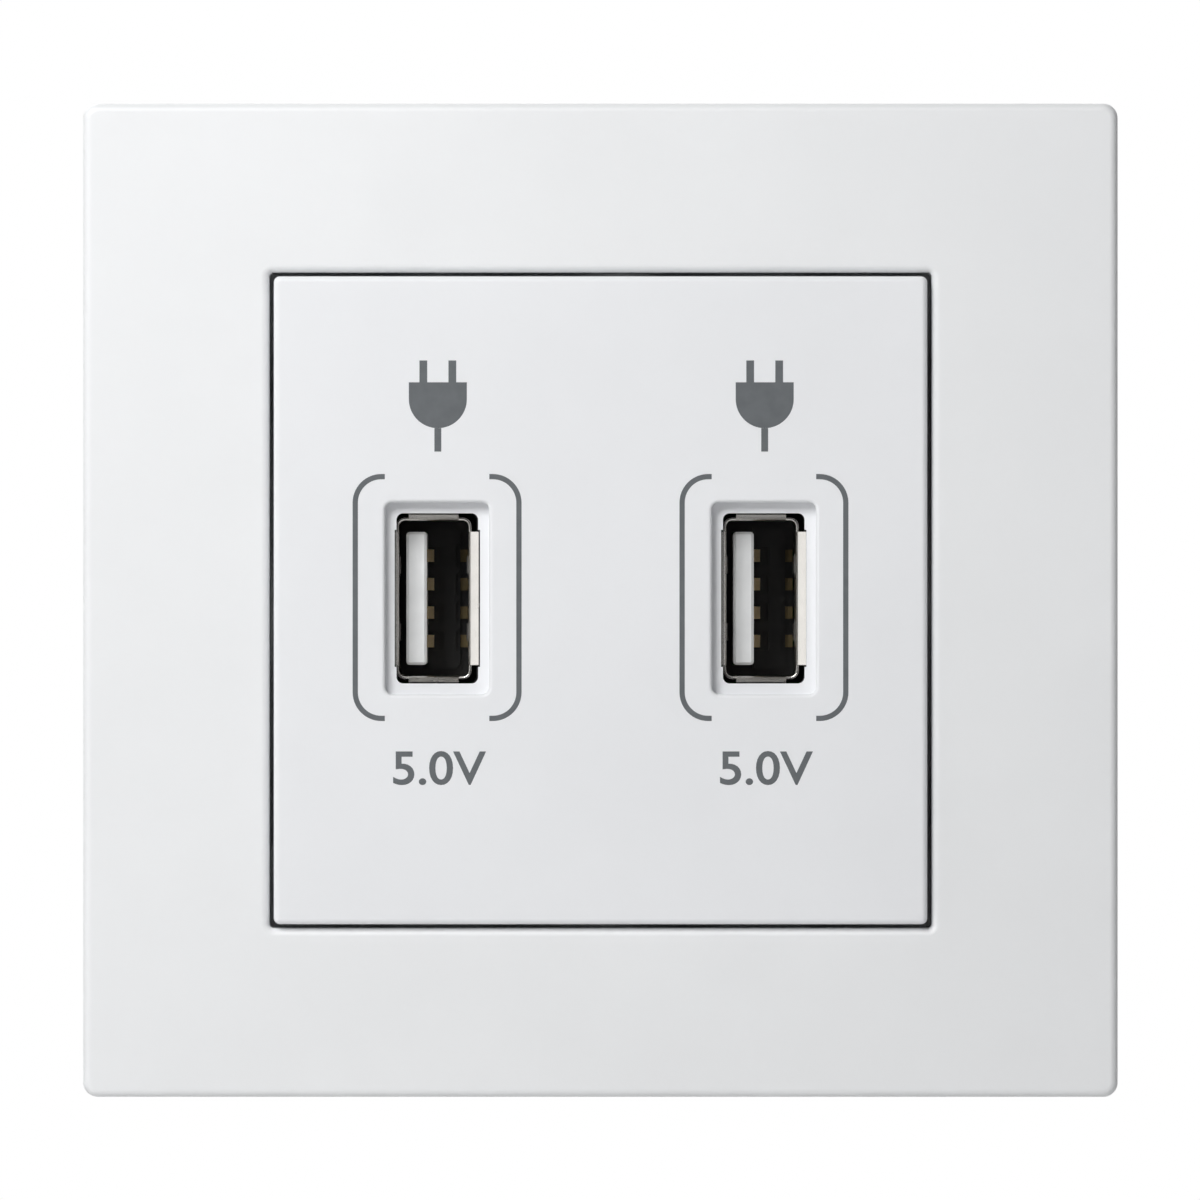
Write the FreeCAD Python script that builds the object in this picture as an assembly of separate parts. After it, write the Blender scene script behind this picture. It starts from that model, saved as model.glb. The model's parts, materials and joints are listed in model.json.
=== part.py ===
import FreeCAD, Part
import math
import os

# Double USB wall socket for a 60 mm wall box, in millimetres.
# X runs right and Z up as seen from the front, and the front faces -Y.
# The plane y = 0 is the wall: the frame's rim and the support ring's back lie on it.
# The origin is the middle of the four screw slots, in that plane.

# Surround frame: one moulded cover with a square aperture
frame_width = 83.0
frame_height = 79.7
frame_depth = 9.0
frame_wall = 1.8
frame_corner_r = 1.16
frame_edge_r = 0.65
skirt_wall = 1.4
skirt_depth = 5.4
frame_rib = 1.0
frame_rib_height = 3.2
frame_rib_pitch = 18.0
frame_rib_count = 3

# Centre plate: the raised square with the two port pockets
plate_width = 52.4
plate_height = 51.95
plate_proud = 0.7
plate_wall = 2.0
plate_gap_x = 0.37
plate_gap_z = 0.325
plate_corner_r = 0.5
plate_edge_r = 0.45
plate_skirt_wall = 1.3
plate_skirt_depth = 5.0
plate_leg_width = 7.0
plate_leg_spacing = 26.0

# Port pockets in the centre plate
port_pitch = 26.2
port_z = 0.15
pocket_width = 8.33
pocket_height = 15.4
pocket_depth = 1.3
pocket_corner_r = 0.6
pocket_edge_r = 0.3
hole_width = 6.55
hole_height = 13.66
hole_corner_r = 0.53
hole_notch = 0.15

# Receptacle: stamped shell, black contact block, white tongue and four contacts
receptacle_pitch = 26.3
receptacle_shift = -0.25
shell_inner_x = 5.6
shell_inner_z = 12.5
shell_sheet = 0.3
shell_corner_r = 0.75
shell_behind_plate = 0.1
side_lip_height = 10.7
side_lip_bend_r = 1.15
side_lip_angle = 60.0
end_lip_width = 4.0
end_lip_bend_r = 0.95
end_lip_angle = 45.0
shell_leg_width = 1.2
shell_leg_spacing = 5.0
shell_window_width = 2.0
shell_window_length = 6.0
shell_window_spacing = 5.4
shell_window_y = -5.6
shell_spring_bow = 0.46
shell_spring_sheet = 0.22
tongue_tip_y = -5.6
tongue_thick = 1.65
tongue_width = 10.7
tongue_back_gap = 0.58
tongue_corner_r = 0.3
tongue_tip_chamfer = 0.2
tongue_groove_front = 1.0
block_face_y = 2.0
block_base_thick = 2.3
block_end_gap = 0.56
block_side_gap = 0.75
block_recess_floor = 0.35
block_corner = 0.4
block_pocket_width = 1.25
block_pocket_height = 1.5
block_notch_depth = 0.34
contact_pitch = 2.3
contact_count = 4
contact_width = 1.0
contact_sheet = 0.2
contact_bow = 0.55
contact_front = 1.2
contact_crest_y = 2.4
contact_crest_length = 0.8
contact_rest = 1.2
contact_shoulder = 0.5
contact_tail_height = 0.7
contact_tail_past = 1.4
contact_tail_inset = 0.15
contact_tail_sheet = 0.35
board_hole_clearance = 0.2
moulding_clearance = 0.05

# Support ring: the folded steel plate that the wall box's screws hold
ring_inset_x = 6.0
ring_inset_z = 4.35
ring_sheet = 1.2
ring_corner_cut = 9.0
ring_open_width = 42.0
ring_open_height = 45.0
ring_open_r = 5.0
screw_spacing = 60.0
slot_half_width = 2.1
slot_length = 5.5
clip_clearance = 0.2
plate_seat_gap = 0.2

# Frame prongs that stand in slots of the ring
prong_width = 6.0
prong_thick = 1.0
prong_root = 1.0
prong_z = 17.0
prong_past_ring = 1.6

# Insert: black cover in front of the ring, grey housing behind it
cover_size = 47.6
cover_front_y = -7.2
cover_wall = 1.5
cover_chamfer = 0.4
cover_port_clearance = 0.35
cover_corner_cut = 3.0
housing_size = 47.0
housing_wall = 1.6
housing_chamfer = 0.5
housing_corner_cut = 12.0
claw_notch_half = 3.4
claw_notch_floor = 20.5
boss_spacing = 29.0
boss_r = 2.4
boss_screw_r = 1.0
boss_clearance = 0.3
head_r = 1.9
head_depth = 1.9
screw_tip_y = -3.4
pilot_past = 0.5
head_recess = 0.2
head_cross_width = 0.35
head_cross_length = 2.3
pilot_r = 1.05
vent_count = 5
vent_pitch = 4.0
vent_width = 1.2

# Boards inside the housing
board_thick = 1.6
board_clearance = 0.4
output_board_y = 5.5
board_part_clearance = 0.7
post_r = 1.3
post_x = 17.5
post_z = 9.5

# Power parts on the boards
core_width = 17.0
core_height = 14.0
core_thick = 4.8
core_leg = 2.7
core_middle = 4.2
bobbin_flange = 0.8
bobbin_wall = 0.6
winding_r = 5.2
winding_clearance = 0.2
transformer_x = -4.3
transformer_foot = 0.9
transformer_z = 5.0
input_cap_r = 3.2
input_cap_length = 12.0
input_cap_x = -14.0
input_cap_z = -7.5
output_cap_r = 2.5
output_cap_length = 8.0
output_cap_x = 7.1
output_cap_places = (3.5, 9.5)
cap_groove = 0.35
cap_foot = 1.0
fuse_r = 1.9
fuse_glass_r = 1.6
fuse_cap_length = 1.3
fuse_length = 6.5
fuse_place = (11.0, -8.6)
bridge_width = 6.0
bridge_height = 2.5
bridge_lead = 0.5
bridge_lead_pitch = 4.0
bridge_place = (11.0, -2.0)
chip_width = 5.0
chip_height = 4.0
chip_thick = 1.6
chip_places = ((0.0, -6.0), (0.0, -11.5))
link_pin_size = 0.64
link_pin_pitch = 2.54
link_pin_count = 5
link_x = 0.0
link_z = -17.0
link_body_height = 2.5
link_pin_past = 1.0

# Terminals: a rising cage round a fixed bar, one for each wire
terminal_pitch = 14.0
terminal_screw_r = 1.5
terminal_head_r = 2.6
terminal_head_length = 1.9
terminal_head_seat_z = -20.9
screw_slot_width = 0.7
screw_slot_depth = 0.9
bar_thick = 1.0
bar_width = 4.8
bar_z = -15.2
wire_room = 4.6
cage_width = 7.0
cage_wall = 0.9
cage_corner_r = 0.7
cage_depth = 5.0
cage_base = 1.4
cage_base_gap = 0.4
cage_board_gap = 1.4
cage_back_gap = 0.9
wire_hole_width = 5.4
cage_guide_gap = 0.3
guide_wall = 1.0
running_clearance = 0.1

# Claws: a swinging toothed plate, its screw and its travelling nut, on each side
claw_screw_x = 23.7
claw_screw_r = 1.5
claw_screw_length = 25.0
claw_head_r = 2.5
claw_head_height = 2.0
claw_head_chamfer = 0.5
claw_nut_length = 3.0
claw_nut_back_y = 23.5
claw_nut_half_x = 2.4
claw_nut_gap = 0.3
claw_nut_chamfer = 1.0
claw_plate_thick = 1.2
claw_half_width = 3.7
claw_hinge_y = 2.0
claw_end_y = 19.6
claw_ramp_length = 2.8
claw_ramp_in = 1.1
claw_tooth = 1.5
claw_pin_r = 0.6
claw_pin_clearance = 0.06
lug_gap = 0.3
lug_half_x = 1.6
lug_depth = 3.6
lug_corner_r = 1.4

# Planes and half sizes that follow from the sizes above
frame_front_y = -frame_depth
plate_front_y = frame_front_y - plate_proud
plate_back_y = plate_front_y + plate_wall
ledge_y = plate_front_y + pocket_depth
ring_half_x = frame_width / 2 - ring_inset_x
ring_half_z = frame_height / 2 - ring_inset_z
aperture_width = plate_width + 2 * plate_gap_x
aperture_height = plate_height + 2 * plate_gap_z
ring_front_y = -ring_sheet
lip_front_y = plate_back_y + shell_behind_plate
shell_back_y = output_board_y
block_base_y = output_board_y - block_base_thick
flange_half = winding_r + winding_clearance
output_board_back_y = output_board_y + board_thick
transformer_y = output_board_back_y + board_part_clearance + flange_half
power_board_y = transformer_y + flange_half + transformer_foot
power_board_back_y = power_board_y + board_thick
terminal_y = power_board_back_y + cage_board_gap + cage_depth / 2
housing_depth = terminal_y + cage_depth / 2 + cage_back_gap + housing_wall
inner_x = shell_inner_x / 2
inner_z = shell_inner_z / 2
tongue_left_x = -inner_x + tongue_back_gap
tongue_face_x = tongue_left_x + tongue_thick
claw_plate_x = claw_screw_x + claw_nut_half_x + claw_nut_gap
claw_hinge_x = claw_plate_x + claw_plate_thick / 2
bar_top_z = bar_z + bar_thick
cage_top_z = bar_top_z + wire_room
sides = (("left", -1), ("right", 1))


def box(x0, x1, y0, y1, z0, z1):
    return Part.makeBox(x1 - x0, y1 - y0, z1 - z0, FreeCAD.Vector(x0, y0, z0))


def centred_box(cx, cz, width, height, y0, y1):
    return box(cx - width / 2, cx + width / 2, y0, y1, cz - height / 2, cz + height / 2)


def rod_y(x, z, y0, y1, r):
    return Part.makeCylinder(r, y1 - y0, FreeCAD.Vector(x, y0, z), FreeCAD.Vector(0, 1, 0))


def rod_z(x, y, z0, z1, r):
    return Part.makeCylinder(r, z1 - z0, FreeCAD.Vector(x, y, z0), FreeCAD.Vector(0, 0, 1))


def rod_x(x0, x1, y, z, r):
    return Part.makeCylinder(r, x1 - x0, FreeCAD.Vector(x0, y, z), FreeCAD.Vector(1, 0, 0))


def edges_along_y(shape):
    """The straight edges that run along Y."""
    found = []
    for edge in shape.Edges:
        if edge.Curve.TypeId == "Part::GeomLine":
            if abs(edge.tangentAt(edge.FirstParameter).y) > 0.999:
                found.append(edge)
    return found


def rounded_block(cx, cz, width, height, y0, y1, r):
    block = centred_box(cx, cz, width, height, y0, y1)
    return block.makeFillet(r, edges_along_y(block))


def edges_in_plane(shape, y, inside, outside):
    """The edges that lie in the plane y, beyond the box inside and within the box outside (half sizes)."""
    found = []
    for edge in shape.Edges:
        b = edge.BoundBox
        if abs(b.YMin - y) < 1e-4 and abs(b.YMax - y) < 1e-4:
            reach_x = max(abs(b.XMin), abs(b.XMax))
            reach_z = max(abs(b.ZMin), abs(b.ZMax))
            within = reach_x < outside[0] and reach_z < outside[1]
            beyond = reach_x > inside[0] or reach_z > inside[1]
            if within and beyond:
                found.append(edge)
    return found


def prism_along_y(points, y0, y1):
    """A straight prism over a closed outline of (x, z) points."""
    corners = [FreeCAD.Vector(x, y0, z) for x, z in points]
    outline = Part.makePolygon(corners + corners[:1])
    return Part.Face(outline).extrude(FreeCAD.Vector(0, y1 - y0, 0))


def prism_along_z(points, z0, z1):
    """A straight prism over a closed outline of (x, y) points."""
    corners = [FreeCAD.Vector(x, y, z0) for x, y in points]
    outline = Part.makePolygon(corners + corners[:1])
    return Part.Face(outline).extrude(FreeCAD.Vector(0, 0, z1 - z0))


def fused(shapes):
    shapes = list(shapes)
    if len(shapes) == 1:
        return shapes[0]
    return shapes[0].fuse(shapes[1:]).removeSplitter()


def cut(shape, tools):
    return shape.cut(list(tools))


def mirrored_x(shape):
    return shape.mirror(FreeCAD.Vector(0, 0, 0), FreeCAD.Vector(1, 0, 0))


def on_side(shape, side):
    """A piece drawn on the right, or its mirror image on the left."""
    return shape if side > 0 else mirrored_x(shape)


def port_centres():
    """Middles of the two pockets and their holes."""
    return [(side * port_pitch / 2, port_z) for name, side in sides]


def receptacle_centres():
    return [(side * receptacle_pitch / 2 + receptacle_shift, port_z) for name, side in sides]


def spread(count, pitch):
    """Places of a row of copies, with its middle at 0."""
    middle = (count - 1) / 2
    return [(i - middle) * pitch for i in range(count)]


def contact_heights():
    return spread(contact_count, contact_pitch)


def corner_places(dx, dz):
    return [(sx * dx, sz * dz) for sx in (-1, 1) for sz in (-1, 1)]


def make_surround_frame():
    """The moulded frame: hollow behind, with a skirt round the aperture, ribs and four prongs."""
    body = rounded_block(0, 0, frame_width, frame_height, frame_front_y, 0, frame_corner_r)
    rim = edges_in_plane(body, frame_front_y, (0, 0), (frame_width, frame_height))
    body = body.makeFillet(frame_edge_r, rim)
    hollow = rounded_block(
        0, 0, frame_width - 2 * frame_wall, frame_height - 2 * frame_wall,
        frame_front_y + frame_wall, 0, frame_corner_r / 2,
    )
    skirt = centred_box(
        0, 0, aperture_width + 2 * skirt_wall, aperture_height + 2 * skirt_wall,
        frame_front_y, frame_front_y + skirt_depth,
    )
    shell = fused([cut(body, [hollow]), skirt] + frame_ribs())
    aperture = rounded_block(0, 0, aperture_width, aperture_height, frame_front_y, 0, plate_gap_x)
    shell = cut(shell, [aperture])
    lip = edges_in_plane(
        shell, frame_front_y, (0, 0), (aperture_width / 2 + frame_wall, aperture_height / 2 + frame_wall)
    )
    shell = shell.makeFillet(frame_edge_r, lip)
    return fused([shell] + frame_prongs())


def frame_ribs():
    """Stiffening ribs between the skirt and the outer wall, on all four sides."""
    front = frame_front_y + frame_edge_r
    back = frame_front_y + frame_wall + frame_rib_height
    reach_x = (aperture_width / 2, frame_width / 2 - frame_wall)
    reach_z = (aperture_height / 2, frame_height / 2 - frame_wall)
    ribs = []
    for at in spread(frame_rib_count, frame_rib_pitch):
        for sign in (-1, 1):
            x0, x1 = sorted(sign * x for x in reach_x)
            z0, z1 = sorted(sign * z for z in reach_z)
            ribs.append(box(x0, x1, front, back, at - frame_rib / 2, at + frame_rib / 2))
            ribs.append(box(at - frame_rib / 2, at + frame_rib / 2, front, back, z0, z1))
    return ribs


def frame_prongs():
    """Four prongs from the skirt through the ring's clip slots, tapered at their tips."""
    prongs = []
    x1 = aperture_width / 2 + skirt_wall
    x0 = x1 - prong_thick
    root_y = frame_front_y + skirt_depth - prong_root
    tip_y = prong_past_ring
    outline = [
        (x0, root_y), (x1, root_y), (x1, tip_y - prong_thick / 2), (x0 + prong_thick / 2, tip_y),
        (x0, tip_y),
    ]
    for side_x, side_z in corner_places(1, prong_z):
        prong = prism_along_z(outline, side_z - prong_width / 2, side_z + prong_width / 2)
        prongs.append(on_side(prong, side_x))
    return prongs


def make_centre_plate():
    """The centre plate: skirt and legs behind, and two stepped port pockets through it."""
    body = rounded_block(
        0, 0, plate_width, plate_height, plate_front_y, plate_front_y + plate_skirt_depth, plate_corner_r
    )
    rim = edges_in_plane(body, plate_front_y, (0, 0), (plate_width, plate_height))
    body = body.makeFillet(plate_edge_r, rim)
    inside_x = plate_width - 2 * plate_skirt_wall
    inside_z = plate_height - 2 * plate_skirt_wall
    hollow = centred_box(0, 0, inside_x, inside_z, plate_back_y, plate_front_y + plate_skirt_depth)
    body = cut(body, [hollow])
    body = fused([body] + plate_legs())
    pockets = [
        rounded_block(cx, cz, pocket_width, pocket_height, plate_front_y, ledge_y, pocket_corner_r)
        for cx, cz in port_centres()
    ]
    body = cut(body, pockets)
    soft = edges_in_plane(body, plate_front_y, (0, 0), (port_pitch / 2 + pocket_width, pocket_height))
    body = body.makeFillet(pocket_edge_r, soft)
    return cut(body, plate_holes())


def plate_holes():
    """The port holes, with a shallow notch on each long side for the shell's lips."""
    holes = []
    for cx, cz in port_centres():
        holes.append(rounded_block(cx, cz, hole_width, hole_height, ledge_y, plate_back_y, hole_corner_r))
        holes.append(
            centred_box(
                cx, cz, hole_width + 2 * hole_notch, side_lip_height + 2 * hole_notch, ledge_y, plate_back_y
            )
        )
    return holes


def plate_legs():
    """Two legs above and two below, which stand on the ring beside the cover."""
    legs = []
    for cx, sign in corner_places(plate_leg_spacing / 2, 1):
        z0, z1 = sorted((sign * plate_height / 2, sign * (plate_height / 2 - plate_skirt_wall)))
        legs.append(
            box(
                cx - plate_leg_width / 2, cx + plate_leg_width / 2,
                plate_front_y + plate_wall, ring_front_y - plate_seat_gap, z0, z1,
            )
        )
    return legs


def lip(start, bend_r, angle, length):
    """A sheet that bends outwards from the line x = start, at y = 0, and is as long as length along Z."""
    turn = math.radians(angle)
    outer_r = bend_r - shell_sheet
    middle = FreeCAD.Vector(start + bend_r, 0, -length / 2)

    def on_arc(r, a):
        return middle + FreeCAD.Vector(-r * math.cos(a), -r * math.sin(a), 0)

    inner = Part.Arc(on_arc(bend_r, 0), on_arc(bend_r, turn / 2), on_arc(bend_r, turn)).toShape()
    outer = Part.Arc(on_arc(outer_r, turn), on_arc(outer_r, turn / 2), on_arc(outer_r, 0)).toShape()
    tip = Part.LineSegment(on_arc(bend_r, turn), on_arc(outer_r, turn)).toShape()
    root = Part.LineSegment(on_arc(outer_r, 0), on_arc(bend_r, 0)).toShape()
    outline = Part.Wire([inner, tip, outer, root])
    return Part.Face(outline).extrude(FreeCAD.Vector(0, 0, length))


def make_usb_shell(cx, cz):
    """The stamped shell: a rounded tube with four flared lips, four springs and four legs."""
    tube_front = lip_front_y + side_lip_bend_r * math.sin(math.radians(side_lip_angle))
    outer = rounded_block(
        0, 0, shell_inner_x + 2 * shell_sheet, shell_inner_z + 2 * shell_sheet,
        tube_front, shell_back_y, shell_corner_r,
    )
    bore = rounded_block(
        0, 0, shell_inner_x, shell_inner_z, tube_front, shell_back_y, shell_corner_r - shell_sheet
    )
    tube = cut(outer, [bore])
    along = FreeCAD.Vector(0, 1, 0)
    side_lip = lip(inner_x, side_lip_bend_r, side_lip_angle, side_lip_height)
    end_lip = lip(inner_z, end_lip_bend_r, end_lip_angle, end_lip_width)
    lips = []
    for angle, shape in ((0, side_lip), (180, side_lip), (90, end_lip), (270, end_lip)):
        turned = shape.copy()
        turned.rotate(FreeCAD.Vector(0, 0, 0), along, angle)
        turned.translate(FreeCAD.Vector(0, tube_front, 0))
        lips.append(turned)
    tube = cut(tube, shell_windows())
    shell = fused([tube] + lips + shell_springs() + shell_legs())
    shell.translate(FreeCAD.Vector(cx, 0, cz))
    return shell


def shell_windows():
    """Windows in the long walls, in which the springs stand."""
    return [
        box(-shell_inner_x, shell_inner_x, shell_window_y, shell_window_y + shell_window_length, z0, z1)
        for z0, z1 in window_spans(shell_window_width)
    ]


def window_spans(width):
    half = shell_window_spacing / 2
    return [(z - width / 2, z + width / 2) for z in (-half, half)]


def shell_springs():
    """Springs that grip a plug: leaves rooted at the back of each window and bowed inwards."""
    y0 = shell_window_y + 2 * shell_sheet
    y1 = shell_window_y + shell_window_length
    x0 = inner_x
    bow = shell_spring_bow
    sheet = shell_spring_sheet
    third = (y1 - y0) / 3
    outline = [
        (x0, y1), (x0 - bow, y0 + third), (x0 - bow / 2, y0),
        (x0 - bow / 2 + sheet, y0), (x0 - bow + sheet, y0 + third), (x0 + sheet, y1),
    ]
    springs = []
    for z0, z1 in window_spans(shell_window_width - 2 * shell_sheet):
        leaf = prism_along_z(outline, z0, z1)
        springs += [leaf, mirrored_x(leaf)]
    return springs


def shell_legs():
    """Four legs through the output board."""
    past = output_board_back_y + contact_tail_past
    legs = []
    for side_x, z in corner_places(1, shell_leg_spacing / 2):
        leg = box(
            inner_x, inner_x + shell_sheet, shell_back_y, past,
            z - shell_leg_width / 2, z + shell_leg_width / 2,
        )
        legs.append(on_side(leg, side_x))
    return legs


def make_contact_block(cx, cz):
    """The black block at the back of the shell: pockets beside the tongue, notches opposite."""
    fit = 2 * moulding_clearance
    base = rounded_block(
        0, 0, shell_inner_x - fit, shell_inner_z - fit, block_base_y, output_board_y,
        shell_corner_r - shell_sheet,
    )
    edge_x = inner_x - block_side_gap
    edge_z = inner_z - block_end_gap
    raised = prism_along_y(
        [
            (tongue_face_x, -edge_z), (edge_x - block_corner, -edge_z), (edge_x, -edge_z + block_corner),
            (edge_x, edge_z - block_corner), (edge_x - block_corner, edge_z), (tongue_face_x, edge_z),
        ],
        block_face_y, block_base_y,
    )
    block = fused([base, raised])
    cuts = [tongue_space()]
    slot = contact_sheet + fit
    half = block_pocket_height / 2
    pocket_x = tongue_face_x + block_pocket_width
    leaf_x = tongue_face_x + moulding_clearance + slot
    shoulder_x = contact_tail_x() - moulding_clearance
    cross = (contact_width + fit) / 2
    recess_y = block_base_y - slot - block_recess_floor
    tail = contact_tail_height / 2 + moulding_clearance
    for z in contact_heights():
        cuts.append(box(tongue_face_x, pocket_x, block_face_y, recess_y, z - half, z + half))
        cuts.append(notch_outline(edge_x, z, half, recess_y))
        cuts.append(box(tongue_face_x, leaf_x, block_face_y, block_base_y, z - cross, z + cross))
        cuts.append(box(tongue_face_x, inner_x, block_base_y - slot, block_base_y, z - cross, z + cross))
        cuts.append(box(shoulder_x, inner_x, block_face_y, block_base_y, z - cross, z + cross))
        cuts.append(box(shoulder_x, inner_x, block_base_y, output_board_y, z - tail, z + tail))
    block = cut(block, cuts)
    block.translate(FreeCAD.Vector(cx, 0, cz))
    return block


def notch_outline(edge_x, z, half, floor_y):
    """A notch in the block's free edge, wider at its mouth."""
    deep = edge_x - block_notch_depth
    return prism_along_y(
        [(deep, z - half), (edge_x, z - half - block_notch_depth), (edge_x, z + half + block_notch_depth),
         (deep, z + half)],
        block_face_y, floor_y,
    )


def tongue_space():
    """The room that the tongue's root takes in the block."""
    half = tongue_width / 2 + moulding_clearance
    left_x = tongue_left_x - moulding_clearance
    return box(left_x, tongue_face_x, block_face_y, output_board_y, -half, half)


def make_contact_tongue(cx, cz):
    """The white tongue: rounded corners, a chamfered tip and a shallow groove under each contact."""
    tongue = box(
        tongue_left_x, tongue_face_x, tongue_tip_y, output_board_y, -tongue_width / 2, tongue_width / 2
    )
    tongue = tongue.makeFillet(tongue_corner_r, edges_along_y(tongue))
    tip = [e for e in tongue.Edges if e.BoundBox.YMax < tongue_tip_y + 1e-4]
    tongue = tongue.makeChamfer(tongue_tip_chamfer, tip)
    groove = contact_width / 2 + moulding_clearance
    grooves = [
        box(
            tongue_face_x - contact_sheet, tongue_face_x, tongue_tip_y + tongue_groove_front, block_face_y,
            z - groove, z + groove,
        )
        for z in contact_heights()
    ]
    tongue = cut(tongue, grooves)
    tongue.translate(FreeCAD.Vector(cx, 0, cz))
    return tongue


def contact_tail_x():
    return inner_x - contact_tail_inset - contact_tail_sheet


def make_contact_set(cx, cz):
    """Four sprung contacts: a bowed leaf on the tongue, a cross strip behind the block, and a tail."""
    low = tongue_face_x - contact_sheet
    leaf_front = tongue_tip_y + contact_front
    cross_back = block_base_y - moulding_clearance
    cross_front = cross_back - contact_sheet
    tail_x = contact_tail_x()
    tail_end_x = tail_x + contact_tail_sheet
    bow = tongue_face_x + contact_bow
    crest = leaf_front + contact_crest_y
    crest_end = crest + contact_crest_length
    rest_x = tongue_face_x + moulding_clearance
    rest_y = block_face_y - contact_rest
    leaf = [
        (low, leaf_front), (bow - contact_sheet, crest), (bow - contact_sheet, crest_end),
        (rest_x, rest_y), (rest_x, cross_back), (rest_x + contact_sheet, cross_back),
        (rest_x + contact_sheet, rest_y), (bow, crest_end), (bow, crest), (low + contact_sheet, leaf_front),
    ]
    contacts = []
    for z in contact_heights():
        half = contact_width / 2
        tail_half = contact_tail_height / 2
        strip = prism_along_z(leaf, z - half, z + half)
        cross = box(rest_x, tail_end_x, cross_front, cross_back, z - half, z + half)
        shoulder = box(
            tail_x, tail_end_x, block_face_y + contact_shoulder, cross_back, z - half, z + half
        )
        tail = box(
            tail_x, tail_end_x, cross_front,
            output_board_back_y + contact_tail_past, z - tail_half, z + tail_half,
        )
        contacts.append(fused([strip, cross, shoulder, tail]))
    contact_set = Part.makeCompound(contacts)
    contact_set.translate(FreeCAD.Vector(cx, 0, cz))
    return contact_set


def make_support_ring():
    """The folded steel plate: opening, screw slots, clip slots, claw screw holes and hinge lugs."""
    ring = prism_along_y(octagon(ring_half_x, ring_half_z, ring_corner_cut), ring_front_y, 0)
    holes = [rounded_block(0, 0, ring_open_width, ring_open_height, ring_front_y, 0, ring_open_r)]
    for angle in (0, 90, 180, 270):
        slot = screw_slot()
        slot.rotate(FreeCAD.Vector(0, 0, 0), FreeCAD.Vector(0, 1, 0), angle)
        holes.append(slot)
    for side_x, z in corner_places(1, prong_z):
        clip = centred_box(
            aperture_width / 2 + skirt_wall - prong_thick / 2, z, prong_thick + 2 * clip_clearance,
            prong_width + 2 * clip_clearance, ring_front_y, 0,
        )
        holes.append(on_side(clip, side_x))
    for name, side in sides:
        holes.append(rod_y(side * claw_screw_x, 0, ring_front_y, 0, claw_screw_r + running_clearance))
    return fused([cut(ring, holes)] + hinge_lugs())


def octagon(half_x, half_z, corner_cut):
    """A rectangle with its corners cut off, from its upper right corner round."""
    short_x, short_z = half_x - corner_cut, half_z - corner_cut
    return [
        (half_x, short_z), (short_x, half_z), (-short_x, half_z), (-half_x, short_z),
        (-half_x, -short_z), (-short_x, -half_z), (short_x, -half_z), (half_x, -short_z),
    ]


def screw_slot():
    """One slot on the right, drawn out along X, so that the plate can be set straight."""
    reach = slot_length / 2 - slot_half_width
    centre = screw_spacing / 2
    slot = centred_box(centre, 0, 2 * reach, 2 * slot_half_width, ring_front_y, 0)
    ends = [rod_y(centre + sign * reach, 0, ring_front_y, 0, slot_half_width) for sign in (-1, 1)]
    return fused([slot] + ends)


def hinge_lugs():
    """Lugs folded back from the plate, two on each side, that carry the claws."""
    lugs = []
    inner = claw_half_width + lug_gap
    for side_x, side_z in corner_places(1, 1):
        z0, z1 = sorted((side_z * inner, side_z * (inner + ring_sheet)))
        lug = box(claw_hinge_x - lug_half_x, claw_hinge_x + lug_half_x, ring_front_y, lug_depth, z0, z1)
        back = [e for e in lug.Edges if e.BoundBox.YMin > lug_depth - 1e-4 and e.BoundBox.XLength < 1e-4]
        lug = lug.makeFillet(lug_corner_r, back)
        hole = rod_z(claw_hinge_x, claw_hinge_y, z0, z1, claw_pin_r + claw_pin_clearance)
        lugs.append(on_side(lug.cut(hole), side_x))
    return lugs


def insert_outline(size, corner_cut, inset):
    """The insert's outline: a square with cut corners and a notch on each side for the claw."""
    half = size / 2 - inset
    edge = half - corner_cut + inset * (2 - math.sqrt(2))
    notch = claw_notch_half + inset
    floor = claw_notch_floor - inset
    right = [(half, -edge), (half, -notch), (floor, -notch), (floor, notch), (half, notch), (half, edge)]
    left = [(-x, -z) for x, z in right]
    return right + [(edge, half), (-edge, half)] + left + [(-edge, -half), (edge, -half)]


def boss_places():
    return corner_places(boss_spacing / 2, boss_spacing / 2)


def make_front_cover():
    """The black cover in front of the ring, with two port openings and four screw bosses."""
    body = prism_along_y(insert_outline(cover_size, cover_corner_cut, 0), cover_front_y, ring_front_y)
    rim = [e for e in body.Edges if e.BoundBox.YMax < cover_front_y + 1e-4]
    body = body.makeChamfer(cover_chamfer, rim)
    hollow = prism_along_y(
        insert_outline(cover_size, cover_corner_cut, cover_wall), cover_front_y + cover_wall, ring_front_y
    )
    body = cut(body, [hollow])
    bosses = [rod_y(x, z, cover_front_y + cover_wall / 2, output_board_y, boss_r) for x, z in boss_places()]
    body = fused([body] + bosses)
    holes = [rod_y(x, z, screw_tip_y - pilot_past, output_board_y, pilot_r) for x, z in boss_places()]
    grow = 2 * (shell_sheet + cover_port_clearance)
    for cx, cz in receptacle_centres():
        holes.append(
            rounded_block(
                cx, cz, shell_inner_x + grow, shell_inner_z + grow, cover_front_y,
                cover_front_y + cover_wall, shell_corner_r,
            )
        )
    return cut(body, holes)


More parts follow.
